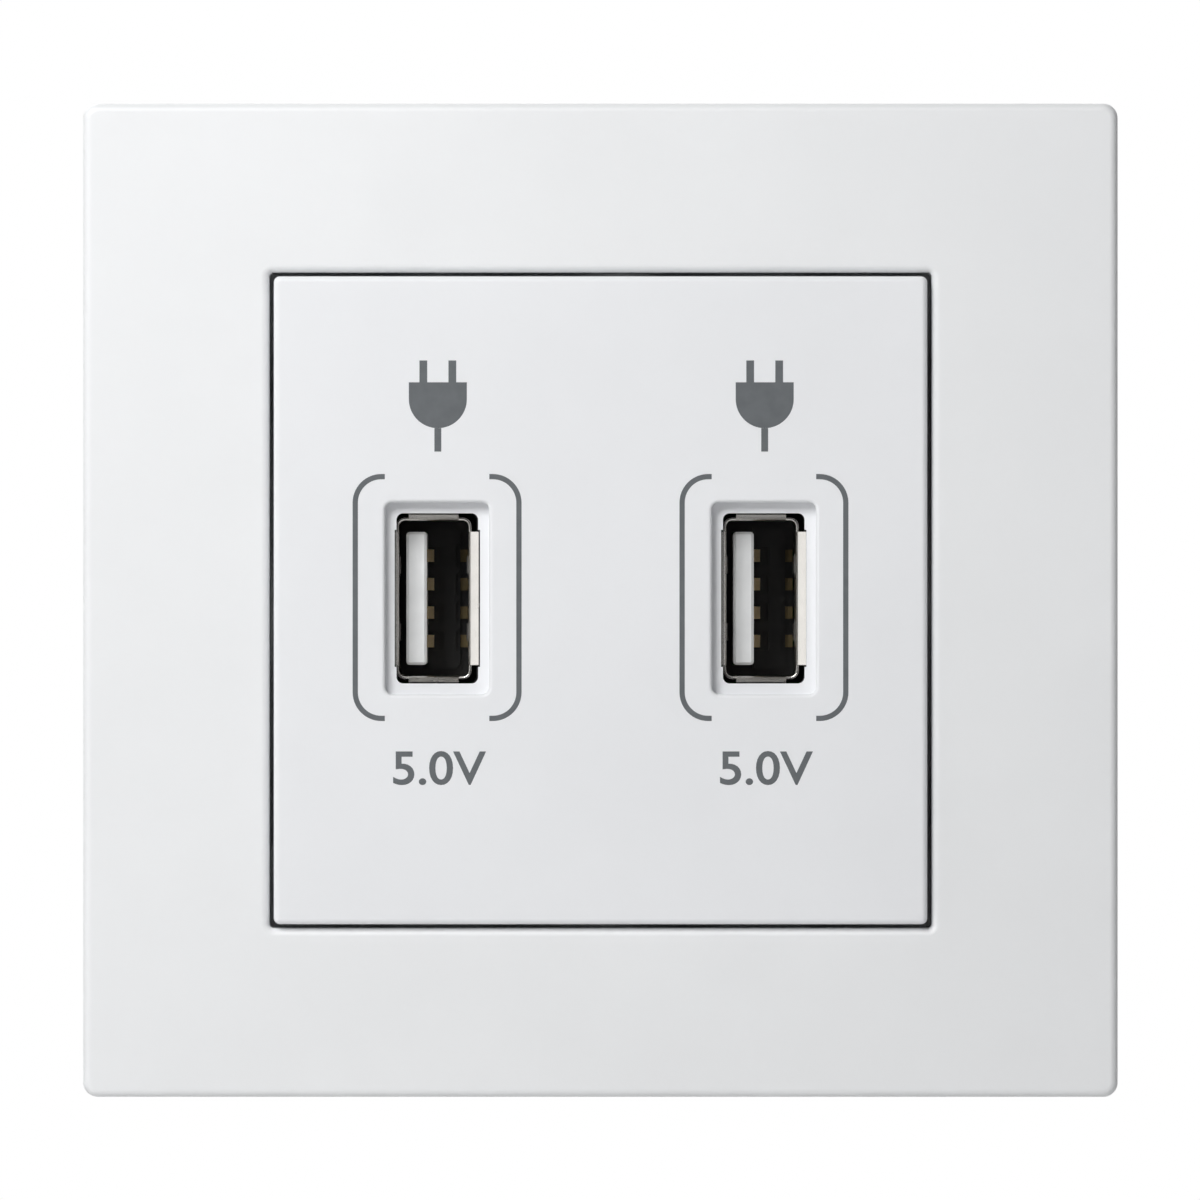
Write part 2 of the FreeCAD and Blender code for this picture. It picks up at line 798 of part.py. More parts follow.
def make_rear_housing():
    """The grey housing: hollow, with screw bosses, board posts, guide walls, vents and wire holes."""
    outer = prism_along_y(insert_outline(housing_size, housing_corner_cut, 0), 0, housing_depth)
    rear = [e for e in outer.Edges if e.BoundBox.YMin > housing_depth - 1e-4]
    outer = outer.makeChamfer(housing_chamfer, rear)
    inner_back = housing_depth - housing_wall
    hollow = prism_along_y(
        insert_outline(housing_size, housing_corner_cut, housing_wall), 0, inner_back
    )
    bosses = [
        rod_y(x, z, output_board_back_y, inner_back + housing_wall / 2, boss_r)
        for x, z in boss_places()
    ]
    posts = [
        rod_y(x, z, power_board_back_y, inner_back + housing_wall / 2, post_r)
        for x, z in corner_places(post_x, post_z)
    ]
    body = fused([cut(outer, [hollow])] + bosses + posts + guide_walls(inner_back))
    holes = []
    for x, z in boss_places():
        holes.append(rod_y(x, z, output_board_y, housing_depth, boss_screw_r + boss_clearance))
        holes.append(rod_y(x, z, housing_depth - head_depth, housing_depth, head_r + boss_clearance))
    for x in terminal_places():
        hole_z0 = bar_top_z + running_clearance
        hole_z1 = cage_top_z + running_clearance
        holes.append(
            box(x - wire_hole_width / 2, x + wire_hole_width / 2, inner_back, housing_depth, hole_z0, hole_z1)
        )
        holes.append(
            rod_z(x, terminal_y, -housing_size / 2, -housing_size / 2 + housing_wall,
                  terminal_head_r + boss_clearance)
        )
    return cut(body, holes + vents())


def terminal_places():
    return [side * terminal_pitch / 2 for name, side in sides]


def guide_walls(inner_back):
    """Walls beside each terminal cage, which keep it from turning with its screw."""
    walls = []
    reach = cage_width / 2 + cage_guide_gap
    for x in terminal_places():
        for sign in (-1, 1):
            x0, x1 = sorted((x + sign * reach, x + sign * (reach + guide_wall)))
            walls.append(
                box(
                    x0, x1, terminal_y - cage_depth / 2, inner_back + housing_wall / 2,
                    -housing_size / 2 + housing_wall / 2, cage_top_z + cage_wall,
                )
            )
    return walls


def vents():
    """Narrow slots through the top wall that let the warm air out."""
    slots = []
    for x in spread(vent_count, vent_pitch):
        slots.append(
            box(
                x - vent_width / 2, x + vent_width / 2, output_board_back_y, power_board_y,
                housing_size / 2 - housing_wall, housing_size / 2,
            )
        )
    return slots


def make_housing_screws():
    """Four long screws from the housing's rear through the output board into the cover."""
    screws = []
    for x, z in boss_places():
        shank = rod_y(x, z, screw_tip_y, housing_depth - head_depth, boss_screw_r)
        head = rod_y(x, z, housing_depth - head_depth, housing_depth - head_recess, head_r)
        slots = [
            centred_box(x, z, width, height, housing_depth - screw_slot_depth, housing_depth)
            for width, height in (
                (head_cross_length, head_cross_width), (head_cross_width, head_cross_length)
            )
        ]
        screws.append(cut(fused([shank, head]), slots))
    return Part.makeCompound(screws)


def board(y):
    outline = insert_outline(housing_size, housing_corner_cut, housing_wall + board_clearance)
    return prism_along_y(outline, y, y + board_thick)


def link_pin_places():
    return [link_x + x for x in spread(link_pin_count, link_pin_pitch)]


def link_pin_holes(y):
    size = link_pin_size + 2 * moulding_clearance
    return [centred_box(x, link_z, size, size, y, y + board_thick) for x in link_pin_places()]


def make_output_board():
    """The board behind the ports, drilled for screws, contact tails, shell legs and link pins."""
    y = output_board_y
    back = output_board_back_y
    holes = [rod_y(x, z, y, back, boss_screw_r + boss_clearance) for x, z in boss_places()]
    holes += link_pin_holes(y)
    for cx, cz in receptacle_centres():
        for z in contact_heights():
            tail_x = cx + contact_tail_x() + contact_tail_sheet / 2
            hole = contact_tail_height + board_hole_clearance
            holes.append(centred_box(tail_x, cz + z, hole, hole, y, back))
        for side_x, z in corner_places(inner_x + shell_sheet / 2, shell_leg_spacing / 2):
            holes.append(
                centred_box(
                    cx + side_x, cz + z, shell_sheet + board_hole_clearance,
                    shell_leg_width + board_hole_clearance, y, back,
                )
            )
    return cut(board(y), holes)


def make_power_board():
    """The mains board, notched round the screw bosses."""
    y = power_board_y
    holes = [rod_y(x, z, y, power_board_back_y, boss_r + board_clearance) for x, z in boss_places()]
    return cut(board(y), holes + link_pin_holes(y))


def make_board_link():
    """Square pins in a plastic strip that join the two boards."""
    y = output_board_back_y
    length = link_pin_count * link_pin_pitch
    strip = centred_box(link_x, link_z, length, link_pin_pitch, y, y + link_body_height)
    y0, y1 = output_board_y - link_pin_past, power_board_back_y + link_pin_past
    pins = [centred_box(x, link_z, link_pin_size, link_pin_size, y0, y1) for x in link_pin_places()]
    return fused([strip] + pins)


def make_transformer_core():
    """Ferrite core: a rectangular frame with a middle leg."""
    x, z = transformer_x, transformer_z
    y0, y1 = transformer_y - core_thick / 2, transformer_y + core_thick / 2
    body = centred_box(x, z, core_width, core_height, y0, y1)
    window_width = (core_width - 2 * core_leg - core_middle) / 2
    window_height = core_height - 2 * core_leg
    offset = (core_middle + window_width) / 2
    windows = [
        centred_box(x + sign * offset, z, window_width, window_height, y0, y1) for sign in (-1, 1)
    ]
    return cut(body, windows)


def make_transformer_bobbin():
    """Bobbin round the core's middle leg, standing on the power board."""
    x, z = transformer_x, transformer_z
    height = core_height - 2 * core_leg - 2 * moulding_clearance
    tube_x = core_middle + 2 * moulding_clearance + 2 * bobbin_wall
    tube_y = core_thick + 2 * moulding_clearance + 2 * bobbin_wall
    y0 = transformer_y - flange_half
    tube = centred_box(x, z, tube_x, height, transformer_y - tube_y / 2, transformer_y + tube_y / 2)
    flanges = []
    for sign in (-1, 1):
        at = z + sign * (height - bobbin_flange) / 2
        flanges.append(centred_box(x, at, 2 * flange_half, bobbin_flange, y0, power_board_y))
    bore = centred_box(
        x, z, core_middle + 2 * moulding_clearance, height,
        transformer_y - tube_y / 2 + bobbin_wall, transformer_y + tube_y / 2 - bobbin_wall,
    )
    return cut(fused([tube] + flanges), [bore])


def make_transformer_winding():
    """Taped winding round the bobbin's tube."""
    x, z = transformer_x, transformer_z
    half = (core_height - 2 * core_leg - 2 * moulding_clearance) / 2 - bobbin_flange - moulding_clearance
    tube_x = core_middle + 4 * moulding_clearance + 2 * bobbin_wall
    tube_y = core_thick + 4 * moulding_clearance + 2 * bobbin_wall
    coil = rod_z(x, transformer_y, z - half, z + half, winding_r)
    inside = centred_box(x, z, tube_x, 2 * half, transformer_y - tube_y / 2, transformer_y + tube_y / 2)
    return cut(coil, [inside])


def can(r, length):
    """A capacitor can standing along Y from y = 0, with the groove rolled in near its foot."""
    outline = [
        (0, 0), (r, 0), (r, cap_foot), (r - cap_groove, cap_foot + cap_groove),
        (r, cap_foot + 2 * cap_groove), (r, length - cap_groove), (r - cap_groove, length), (0, length),
    ]
    corners = [FreeCAD.Vector(x, y, 0) for x, y in outline]
    face = Part.Face(Part.makePolygon(corners + corners[:1]))
    return face.revolve(FreeCAD.Vector(0, 0, 0), FreeCAD.Vector(0, 1, 0), 360)


def make_input_capacitor():
    """The mains-side capacitor, lying along X on the power board."""
    cap = can(input_cap_r, input_cap_length)
    cap.rotate(FreeCAD.Vector(0, 0, 0), FreeCAD.Vector(0, 0, 1), -90)
    cap.translate(FreeCAD.Vector(input_cap_x, power_board_y - input_cap_r - moulding_clearance, input_cap_z))
    return cap


def make_output_capacitors():
    """Two capacitors standing on the output board."""
    caps = []
    for z in output_cap_places:
        cap = can(output_cap_r, output_cap_length)
        cap.translate(FreeCAD.Vector(output_cap_x, output_board_back_y, z))
        caps.append(cap)
    return Part.makeCompound(caps)


def make_bridge_rectifier():
    """A flat moulded bridge with four leads on the power board."""
    x, z = bridge_place
    front = power_board_y - bridge_height
    foot = power_board_y - bridge_lead
    body = centred_box(x, z, bridge_width, bridge_width, front, foot)
    body = body.makeChamfer(bridge_lead, [e for e in body.Edges if e.BoundBox.YMax < front + 1e-4])
    leads = [
        centred_box(x + sx, z + sz, 2 * bridge_lead, 2 * bridge_lead, foot, power_board_y)
        for sx, sz in corner_places(bridge_lead_pitch / 2, bridge_lead_pitch / 2)
    ]
    return fused([body] + leads)


def make_fuse():
    """A cartridge fuse lying along X on the power board, with an end cap at each end."""
    x, z = fuse_place
    y = power_board_y - fuse_r - moulding_clearance
    glass = rod_x(x - fuse_length / 2, x + fuse_length / 2, y, z, fuse_glass_r)
    caps = [
        rod_x(x - fuse_length / 2, x - fuse_length / 2 + fuse_cap_length, y, z, fuse_r),
        rod_x(x + fuse_length / 2 - fuse_cap_length, x + fuse_length / 2, y, z, fuse_r),
    ]
    return fused([glass] + caps)


def make_control_chips():
    """Two control chips on the back of the output board."""
    y0, y1 = output_board_back_y, output_board_back_y + chip_thick
    return Part.makeCompound(
        [centred_box(x, z, chip_width, chip_height, y0, y1) for x, z in chip_places]
    )


def make_terminal_bars():
    """Two fixed brass bars that the cages pull the wires against."""
    back = housing_depth - housing_wall - running_clearance
    return Part.makeCompound(
        [
            box(x - bar_width / 2, x + bar_width / 2, power_board_back_y, back, bar_z, bar_top_z)
            for x in terminal_places()
        ]
    )


def make_terminal_cage(x):
    """A steel cage round the bar, with the screw's thread in its base."""
    base_z = bar_z - cage_base_gap - cage_base
    y0, y1 = terminal_y - cage_depth / 2, terminal_y + cage_depth / 2
    outer = box(x - cage_width / 2, x + cage_width / 2, y0, y1, base_z, cage_top_z + cage_wall)
    outer = outer.makeFillet(cage_corner_r, edges_along_y(outer))
    inside = cage_width / 2 - cage_wall
    window = box(x - inside, x + inside, y0, y1, base_z + cage_base, cage_top_z)
    thread = rod_z(x, terminal_y, base_z, base_z + cage_base, terminal_screw_r + running_clearance)
    return cut(outer, [window, thread])


def make_terminal_screw(x):
    """A slotted screw from below, whose tip stands under the bar."""
    tip_z = bar_z - moulding_clearance
    head_z = terminal_head_seat_z - terminal_head_length
    shank = rod_z(x, terminal_y, terminal_head_seat_z, tip_z, terminal_screw_r)
    head = rod_z(x, terminal_y, head_z, terminal_head_seat_z, terminal_head_r)
    slot = box(
        x - terminal_head_r, x + terminal_head_r, terminal_y - screw_slot_width / 2,
        terminal_y + screw_slot_width / 2, head_z, head_z + screw_slot_depth,
    )
    return cut(fused([shank, head]), [slot])


def make_claw(side):
    """The toothed claw: it hinges in the ring's lugs and its ramp meets the nut."""
    x0, x1 = claw_plate_x, claw_plate_x + claw_plate_thick
    ramp_y = claw_end_y - claw_ramp_length
    step = claw_ramp_length / 2
    outline = [
        (x0, claw_hinge_y), (x0, ramp_y), (x0 - claw_ramp_in, claw_end_y),
        (x1 - claw_ramp_in, claw_end_y), (x1 + claw_tooth, ramp_y + step), (x1, ramp_y),
        (x1 + claw_tooth, ramp_y - step / 2), (x1, ramp_y - step * 2), (x1, claw_hinge_y),
    ]
    plate = prism_along_z(outline, -claw_half_width, claw_half_width)
    knuckle = rod_z(claw_hinge_x, claw_hinge_y, -claw_half_width, claw_half_width, claw_plate_thick / 2)
    pin_half = claw_half_width + lug_gap + ring_sheet
    pin = rod_z(claw_hinge_x, claw_hinge_y, -pin_half, pin_half, claw_pin_r)
    slot = box(x0 - claw_ramp_in, x1 + claw_tooth, ramp_y - step * 2, claw_end_y,
               -claw_plate_thick, claw_plate_thick)
    return on_side(fused([cut(plate, [slot]), knuckle, pin]), side)


def make_claw_nut(side):
    """A block nut that the screw draws forwards under the claw's ramp."""
    x0, x1 = claw_screw_x - claw_nut_half_x, claw_screw_x + claw_nut_half_x
    y0, y1 = claw_nut_back_y - claw_nut_length, claw_nut_back_y
    corner = claw_nut_chamfer
    outline = [(x0, y0), (x1 - corner, y0), (x1, y0 + corner), (x1, y1), (x0, y1)]
    half = claw_notch_half - lug_gap
    block = prism_along_z(outline, -half, half)
    thread = rod_y(claw_screw_x, 0, y0, y1, claw_screw_r + running_clearance)
    return on_side(cut(block, [thread]), side)


def make_claw_screw(side):
    """A slotted pan-head screw through the ring."""
    head_y = ring_front_y - claw_head_height
    shank = rod_y(claw_screw_x, 0, ring_front_y, claw_screw_length, claw_screw_r)
    head = rod_y(claw_screw_x, 0, head_y, ring_front_y, claw_head_r)
    rim = [e for e in head.Edges if e.BoundBox.YMax < head_y + 1e-4]
    head = head.makeChamfer(claw_head_chamfer, rim)
    slot = centred_box(
        claw_screw_x, 0, 2 * claw_head_r, screw_slot_width, head_y, head_y + screw_slot_depth
    )
    return on_side(cut(fused([shank, head]), [slot]), side)


def make_parts():
    """Every sub-part of the socket, by name."""
    parts = {
        "surround_frame": make_surround_frame(),
        "centre_plate": make_centre_plate(),
        "support_ring": make_support_ring(),
        "front_cover": make_front_cover(),
        "rear_housing": make_rear_housing(),
        "housing_screws": make_housing_screws(),
        "output_board": make_output_board(),
        "power_board": make_power_board(),
        "board_link": make_board_link(),
        "transformer_core": make_transformer_core(),
        "transformer_bobbin": make_transformer_bobbin(),
        "transformer_winding": make_transformer_winding(),
        "input_capacitor": make_input_capacitor(),
        "output_capacitors": make_output_capacitors(),
        "bridge_rectifier": make_bridge_rectifier(),
        "fuse": make_fuse(),
        "control_chips": make_control_chips(),
        "terminal_bars": make_terminal_bars(),
    }
    for (name, side), (cx, cz), x in zip(sides, receptacle_centres(), terminal_places()):
        parts["usb_shell_" + name] = make_usb_shell(cx, cz)
        parts["contact_block_" + name] = make_contact_block(cx, cz)
        parts["contact_tongue_" + name] = make_contact_tongue(cx, cz)
        parts["contact_set_" + name] = make_contact_set(cx, cz)
        parts["terminal_cage_" + name] = make_terminal_cage(x)
        parts["terminal_screw_" + name] = make_terminal_screw(x)
        parts["claw_" + name] = make_claw(side)
        parts["claw_nut_" + name] = make_claw_nut(side)
        parts["claw_screw_" + name] = make_claw_screw(side)
    return parts


os.makedirs("parts", exist_ok=True)
for node, shape in make_parts().items():
    print(node, "solids", len(shape.Solids), "valid", shape.isValid(), "volume", round(shape.Volume, 1))
    shape.exportStep(os.path.join("parts", node + ".step"))
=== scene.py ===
# %% [markdown]
# A double USB wall socket. The construction comes in as a fixed frame of finished solids at their
# real size, in metres, with the front facing -Y. All of it could be modelled again here, but most
# of the solids are already right. So this lesson gives each of them its material, replaces the few
# whose fine shape needs a mesh, adds the printed marks, and sets up soft light and a long lens.

# %% Load the frame
import bpy, bmesh, json, math
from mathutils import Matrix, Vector


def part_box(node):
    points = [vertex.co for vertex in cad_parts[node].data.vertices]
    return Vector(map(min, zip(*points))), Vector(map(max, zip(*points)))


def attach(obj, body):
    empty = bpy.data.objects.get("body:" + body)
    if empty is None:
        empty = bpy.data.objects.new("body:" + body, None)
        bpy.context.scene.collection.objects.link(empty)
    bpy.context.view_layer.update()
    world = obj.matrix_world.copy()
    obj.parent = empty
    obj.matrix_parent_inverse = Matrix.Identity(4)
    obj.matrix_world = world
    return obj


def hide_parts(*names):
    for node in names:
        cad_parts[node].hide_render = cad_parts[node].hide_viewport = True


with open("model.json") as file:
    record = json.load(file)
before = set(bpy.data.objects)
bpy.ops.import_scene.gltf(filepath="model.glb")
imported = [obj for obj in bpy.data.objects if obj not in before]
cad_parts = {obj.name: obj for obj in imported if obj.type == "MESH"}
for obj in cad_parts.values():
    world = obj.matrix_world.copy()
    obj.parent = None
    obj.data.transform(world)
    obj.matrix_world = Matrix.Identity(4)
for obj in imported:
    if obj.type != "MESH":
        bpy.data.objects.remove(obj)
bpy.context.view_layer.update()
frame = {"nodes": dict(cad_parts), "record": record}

# %% Plain measures
MM = 0.001
quarter_turn = math.pi / 2
plate_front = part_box("centre_plate")[0].y
print("plate front at", round(plate_front / MM, 2), "mm")

# %% [markdown]
# Colours are written as they look on a screen (sRGB hex), because that is how a colour is picked.
# The shader works in linear light, so one function turns the one into the other. The patterns
# could be painted images, but noise on Object coordinates needs none. It is in metres, so a grain
# has its real width on every piece, and it rides with a piece that moves.

# %% Colours
def linear(hex_code):
    """An sRGB hex colour as the linear RGBA that a shader socket takes."""
    channels = [int(hex_code[i:i + 2], 16) / 255 for i in (1, 3, 5)]
    return [c / 12.92 if c <= 0.04045 else ((c + 0.055) / 1.055) ** 2.4 for c in channels] + [1.0]


print("mid grey", [round(c, 3) for c in linear("#808080")])

# %% Nodes and materials
def add(material, kind, feeds=(), **settings):
    """Add one node to a material or the world, with its settings, and feed its inputs.

    A setting is a property of the node or, with _ for each space, one of its inputs. A feed is a
    pair: another node's output or a constant, and the name or number of the input that takes it.
    """
    node = material.node_tree.nodes.new(kind)
    for name, value in settings.items():
        input_name = name.replace("_", " ")
        if input_name in node.inputs:
            node.inputs[input_name].default_value = value
        else:
            setattr(node, name, value)
    for source, name in feeds:
        if isinstance(source, bpy.types.NodeSocket):
            material.node_tree.links.new(source, node.inputs[name])
        else:
            node.inputs[name].default_value = source
    return node


def new_material(name, colour, roughness, metallic=0.0, ior=1.5):
    """A material with one Principled shader, with its constants on the shader's own sockets."""
    material = bpy.data.materials.new(name)
    material.use_nodes = True
    shader = material.node_tree.nodes["Principled BSDF"]
    shader.inputs["Base Color"].default_value = linear(colour)
    shader.inputs["Roughness"].default_value = roughness
    shader.inputs["Metallic"].default_value = metallic
    shader.inputs["IOR"].default_value = ior
    print("material", name, colour, "roughness", roughness)
    return material


def to_shader(material, output, socket):
    """Link an output to one socket of the material's shader."""
    shader = material.node_tree.nodes["Principled BSDF"]
    material.node_tree.links.new(output, shader.inputs[socket])


# %% Surface patterns
noise_low, noise_high = 0.35, 0.65      # a noise seldom leaves this range


def grain(material, size, depth, detail=2.0):
    """A fine bump: size is the width of one grain and depth its height, both in millimetres."""
    place = add(material, "ShaderNodeTexCoord").outputs["Object"]
    noise = add(material, "ShaderNodeTexNoise", [(place, "Vector")],
                Scale=1 / (size * MM), Detail=detail)
    bump = add(material, "ShaderNodeBump", [(noise.outputs["Fac"], "Height")],
               Strength=1.0, Distance=depth * MM)
    to_shader(material, bump.outputs["Normal"], "Normal")


def tint(material, low, high, size):
    """A slow change between two colours over a distance of size millimetres."""
    place = add(material, "ShaderNodeTexCoord").outputs["Object"]
    noise = add(material, "ShaderNodeTexNoise", [(place, "Vector")],
                Scale=1 / (size * MM), Detail=2.0)
    ramp = add(material, "ShaderNodeValToRGB", [(noise.outputs["Fac"], "Fac")])
    stops = zip(ramp.color_ramp.elements, (noise_low, noise_high), (low, high))
    for stop, position, colour in stops:
        stop.position = position
        stop.color = linear(colour)
    to_shader(material, ramp.outputs["Color"], "Base Color")


def rough_patches(material, low, high, size):
    """Roughness that wanders between low and high over size millimetres."""
    place = add(material, "ShaderNodeTexCoord").outputs["Object"]
    noise = add(material, "ShaderNodeTexNoise", [(place, "Vector")],
                Scale=1 / (size * MM), Detail=3.0)
    spread = add(material, "ShaderNodeMapRange", [(noise.outputs["Fac"], "Value")],
                 To_Min=low, To_Max=high)
    to_shader(material, spread.outputs["Result"], "Roughness")


# %% [markdown]
# The frame and the plate are moulded in a UV-stable white thermoplastic. The mould is finely
# eroded, so the surface is satin: it has a soft highlight and a grain that is felt more than seen.
# A flat colour would look like paper. So the grain is a bump of about its real size, 0.28 mm wide
# and a few microns deep, and the white drifts by two levels over 14 mm. The plate is a touch
# darker than the frame, as two mouldings from two batches often are.

# %% White satin moulding
def white_moulding(name, low, high):
    """Satin white plastic between two nearly equal whites."""
    material = new_material(name, high, roughness=0.42, ior=1.49)
    grain(material, size=0.28, depth=0.004, detail=3.0)
    tint(material, low, high, size=14.0)
    rough_patches(material, low=0.41, high=0.45, size=2.5)
    return material


white_frame = white_moulding("white_satin_frame", "#EEEFF0", "#F0F1F2")
white_plate = white_moulding("white_satin_plate", "#EDEEF0", "#EFF0F2")

# %% [markdown]
# The tongue in each port is a stiff white plastic with glass fibre in it. The fibre leaves the
# surface a little warmer and duller than the covers, so it gets a grey white, a higher roughness
# and a finer grain instead of the covers' own material.

# %% White tongue
white_tongue = new_material("white_filled_plastic", "#E9EAEA", roughness=0.5, ior=1.52)
grain(white_tongue, size=0.12, depth=0.003)
tint(white_tongue, "#E2E3E3", "#EDEEEE", size=3.0)

# %% [markdown]
# Black polyamide makes the blocks in the ports and the cover behind the plate. It is nearly black
# with a dull sheen that picks up the edges. A pure black would swallow its shape, so the colour
# stays just above it and the roughness just low enough for that sheen.

# %% Black polyamide
black_plastic = new_material("black_polyamide", "#141415", roughness=0.33, ior=1.53)
grain(black_plastic, size=0.2, depth=0.004)
tint(black_plastic, "#0F0F10", "#19191A", size=4.0)

# %% [markdown]
# The rear housing is a flame-retardant polycarbonate blend in plain grey. Nobody sees it once it
# is in the wall, so its mould is left coarser than the covers': the grain is wider and deeper, and
# the gloss wanders a little more.

# %% Grey housing
grey_plastic = new_material("grey_polycarbonate_blend", "#8B8F92", roughness=0.5, ior=1.55)
grain(grey_plastic, size=0.4, depth=0.012, detail=4.0)
tint(grey_plastic, "#898D90", "#8D9194", size=12.0)
rough_patches(grey_plastic, low=0.5, high=0.56, size=3.0)

# %% [markdown]
# The metals come as rolled sheet or drawn wire: the receptacle shells are nickel-plated steel, the
# ring and the claws zinc-plated steel, the screws bright zinc, the terminal bars brass. Rolling
# and drawing leave faint lines that blur a reflection one way. Anisotropic shading could show
# that, but it needs a direction on every face. A noise that is squeezed along Z gives lines of a
# real spacing on any shape.

# %% Rolled metals
def rolled_metal(name, colour, roughness, line, depth, stretch=12.0):
    """A bare or plated metal with lines line millimetres wide and stretch times as long."""
    material = new_material(name, colour, roughness, metallic=1.0)
    place = add(material, "ShaderNodeTexCoord").outputs["Object"]
    squeezed = add(material, "ShaderNodeMapping", [(place, "Vector")], Scale=(1.0, 1.0, stretch))
    noise = add(material, "ShaderNodeTexNoise", [(squeezed.outputs["Vector"], "Vector")],
                Scale=1 / (line * MM) / stretch, Detail=3.0)
    bump = add(material, "ShaderNodeBump", [(noise.outputs["Fac"], "Height")],
               Strength=1.0, Distance=depth * MM)
    to_shader(material, bump.outputs["Normal"], "Normal")
    rough_patches(material, low=0.8 * roughness, high=1.3 * roughness, size=1.5)
    return material


# Nickel looks warm and sharp, zinc cool and dull, bright zinc between them, and brass yellow.
nickel = rolled_metal("nickel_plated_steel", "#DAD7D2", roughness=0.24, line=0.08, depth=0.001)
zinc = rolled_metal("zinc_plated_steel", "#C9CBCB", roughness=0.36, line=0.3, depth=0.004,
                    stretch=5.0)
bright_zinc = rolled_metal("bright_zinc_steel", "#CFCFC8", roughness=0.28, line=0.2, depth=0.002)
brass = rolled_metal("plain_brass", "#C9A857", roughness=0.32, line=0.2, depth=0.002)

# %% [markdown]
# The contacts are phosphor bronze. Their sprung leaves have a dull gold flash, and the tails, on
# the right of each port, have none. The tails' dark colour is painted shade: they lie deep in the
# port. Two materials on one piece would need its faces sorted, so one material changes colour at a
# plane: where X lies past the tail's line.

# %% Contacts
# the first colour is the gold flash; the second is painted shade for the tails
gold_flash, tail_painted_shade = "#F0DDB8", "#766A50"
contact_tail_zone = 0.6 * MM
first_colour, second_colour, mixed_colour = 6, 7, 2     # a Mix node's colour sockets, by number


def contact_gold_and_shaded_tail(name, tail_x):
    """Gold flash on the leaf, and a dark colour of painted shade on the tail, where X lies past
    tail_x.
    """
    material = rolled_metal(name, gold_flash, roughness=0.55, line=0.1, depth=0.001)
    place = add(material, "ShaderNodeTexCoord").outputs["Object"]
    axes = add(material, "ShaderNodeSeparateXYZ", [(place, "Vector")])
    # this mask marks the tails, which get the painted shade colour
    past = add(material, "ShaderNodeMath", [(axes.outputs["X"], 0), (tail_x, 1)],
               operation="GREATER_THAN")
    metal = add(material, "ShaderNodeMix",
                [(past.outputs["Value"], 0), (linear(gold_flash), first_colour),
                 (linear(tail_painted_shade), second_colour)], data_type="RGBA")
    to_shader(material, metal.outputs[mixed_colour], "Base Color")
    return material


# %% [markdown]
# The parts of the power supply lie inside the closed housing: a glass-fibre board under green
# lacquer, a core of sintered ferrite, yellow winding tape, dark sleeved cans and a glass fuse.
# They are hardly seen, so one plain recipe with two colours, a roughness and a grain serves them
# all.

# %% Materials inside
def inner_material(name, low, high, roughness, size):
    """A plain surface whose grain is size millimetres wide and whose tint is 8 times that."""
    material = new_material(name, high, roughness)
    grain(material, size, depth=0.006)
    tint(material, low, high, size=8 * size)
    return material


# Lacquer looks even and glossy, ferrite dull and mottled, tape and sleeve smooth, glass sharp.
board_lacquer = inner_material("green_board_lacquer", "#134A2A", "#1B5C36", 0.3, size=0.5)
ferrite = inner_material("sintered_ferrite", "#2B2C2E", "#363739", 0.6, size=0.15)
winding_tape = inner_material("yellow_winding_tape", "#D2A416", "#E0B52A", 0.35, size=0.4)
can_sleeve = inner_material("dark_can_sleeve", "#1B2130", "#262D3F", 0.35, size=0.5)
fuse_glass = inner_material("clear_fuse_glass", "#C4CBC8", "#D2D8D5", 0.1, size=0.6)

# %% [markdown]
# Each solid comes with the name of its material slot, so a table from slot to material paints them
# all. The plate and the contacts have finishes of their own.

# %% Give every node its material
slot_finish = {
    "white_moulding": white_frame, "white_tongue": white_tongue, "black_moulding": black_plastic,
    "grey_moulding": grey_plastic, "zinc_steel": zinc, "bright_steel": bright_zinc,
    "nickel_shell": nickel, "brass_bar": brass, "circuit_board": board_lacquer,
    "ferrite": ferrite, "winding_tape": winding_tape, "capacitor_can": can_sleeve,
    "fuse_glass": fuse_glass,
}
own_finish = {"centre_plate": white_plate}
port_sides = {"left": -1, "right": 1}
for port in port_sides:
    tail_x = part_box("contact_set_" + port)[1].x - contact_tail_zone
    own_finish["contact_set_" + port] = contact_gold_and_shaded_tail("contact_gold_and_shaded_tail_" + port, tail_x)


def paint(piece, material):
    """Make this the piece's only material."""
    piece.data.materials.clear()
    piece.data.materials.append(material)


for entry in frame["record"]["subparts"]:
    node, slot = entry["node"], entry["material_slot"]
    paint(frame["nodes"][node], own_finish[node] if node in own_finish else slot_finish[slot])

# %% [markdown]
# The marks are pad printed in grey on the finished plate. A print is a film about a hundredth of a
# millimetre thick. It could be a colour in the plate's material, but then its edges would be hard
# to place, so each mark is a piece: a flat shape with that thickness. Its ink is matt and very
# even.

# %% Print ink
print_ink = new_material("grey_pad_print", "#64686B", roughness=0.5)
grain(print_ink, size=0.2, depth=0.002)
tint(print_ink, "#616568", "#676B6E", size=1.2)

# %% [markdown]
# New pieces are made with the operators that are used by hand. An operator acts on all that is
# selected, so each helper starts from an empty selection and then picks faces or edges by their
# place or normal. A finished piece keeps its place in its mesh and its object at the origin.

# %% Selecting
close = 0.01 * MM          # points nearer than this are in one place
square_on = 0.9            # a face's normal has this much of the axis that it faces


def deselect():
    """Leave edit mode and select nothing."""
    if bpy.context.mode != "OBJECT":
        bpy.ops.object.mode_set(mode="OBJECT")
    bpy.ops.object.select_all(action="DESELECT")


def choose(pieces):
    """Select only these pieces and make the first of them active."""
    deselect()
    for piece in pieces:
        piece.select_set(True)
    bpy.context.view_layer.objects.active = pieces[0]


def edit(piece, domain="EDGE"):
    """Enter edit mode on one piece, with nothing in it selected."""
    choose([piece])
    bpy.ops.object.mode_set(mode="EDIT")
    bpy.ops.mesh.select_mode(type=domain)
    bpy.ops.mesh.select_all(action="DESELECT")


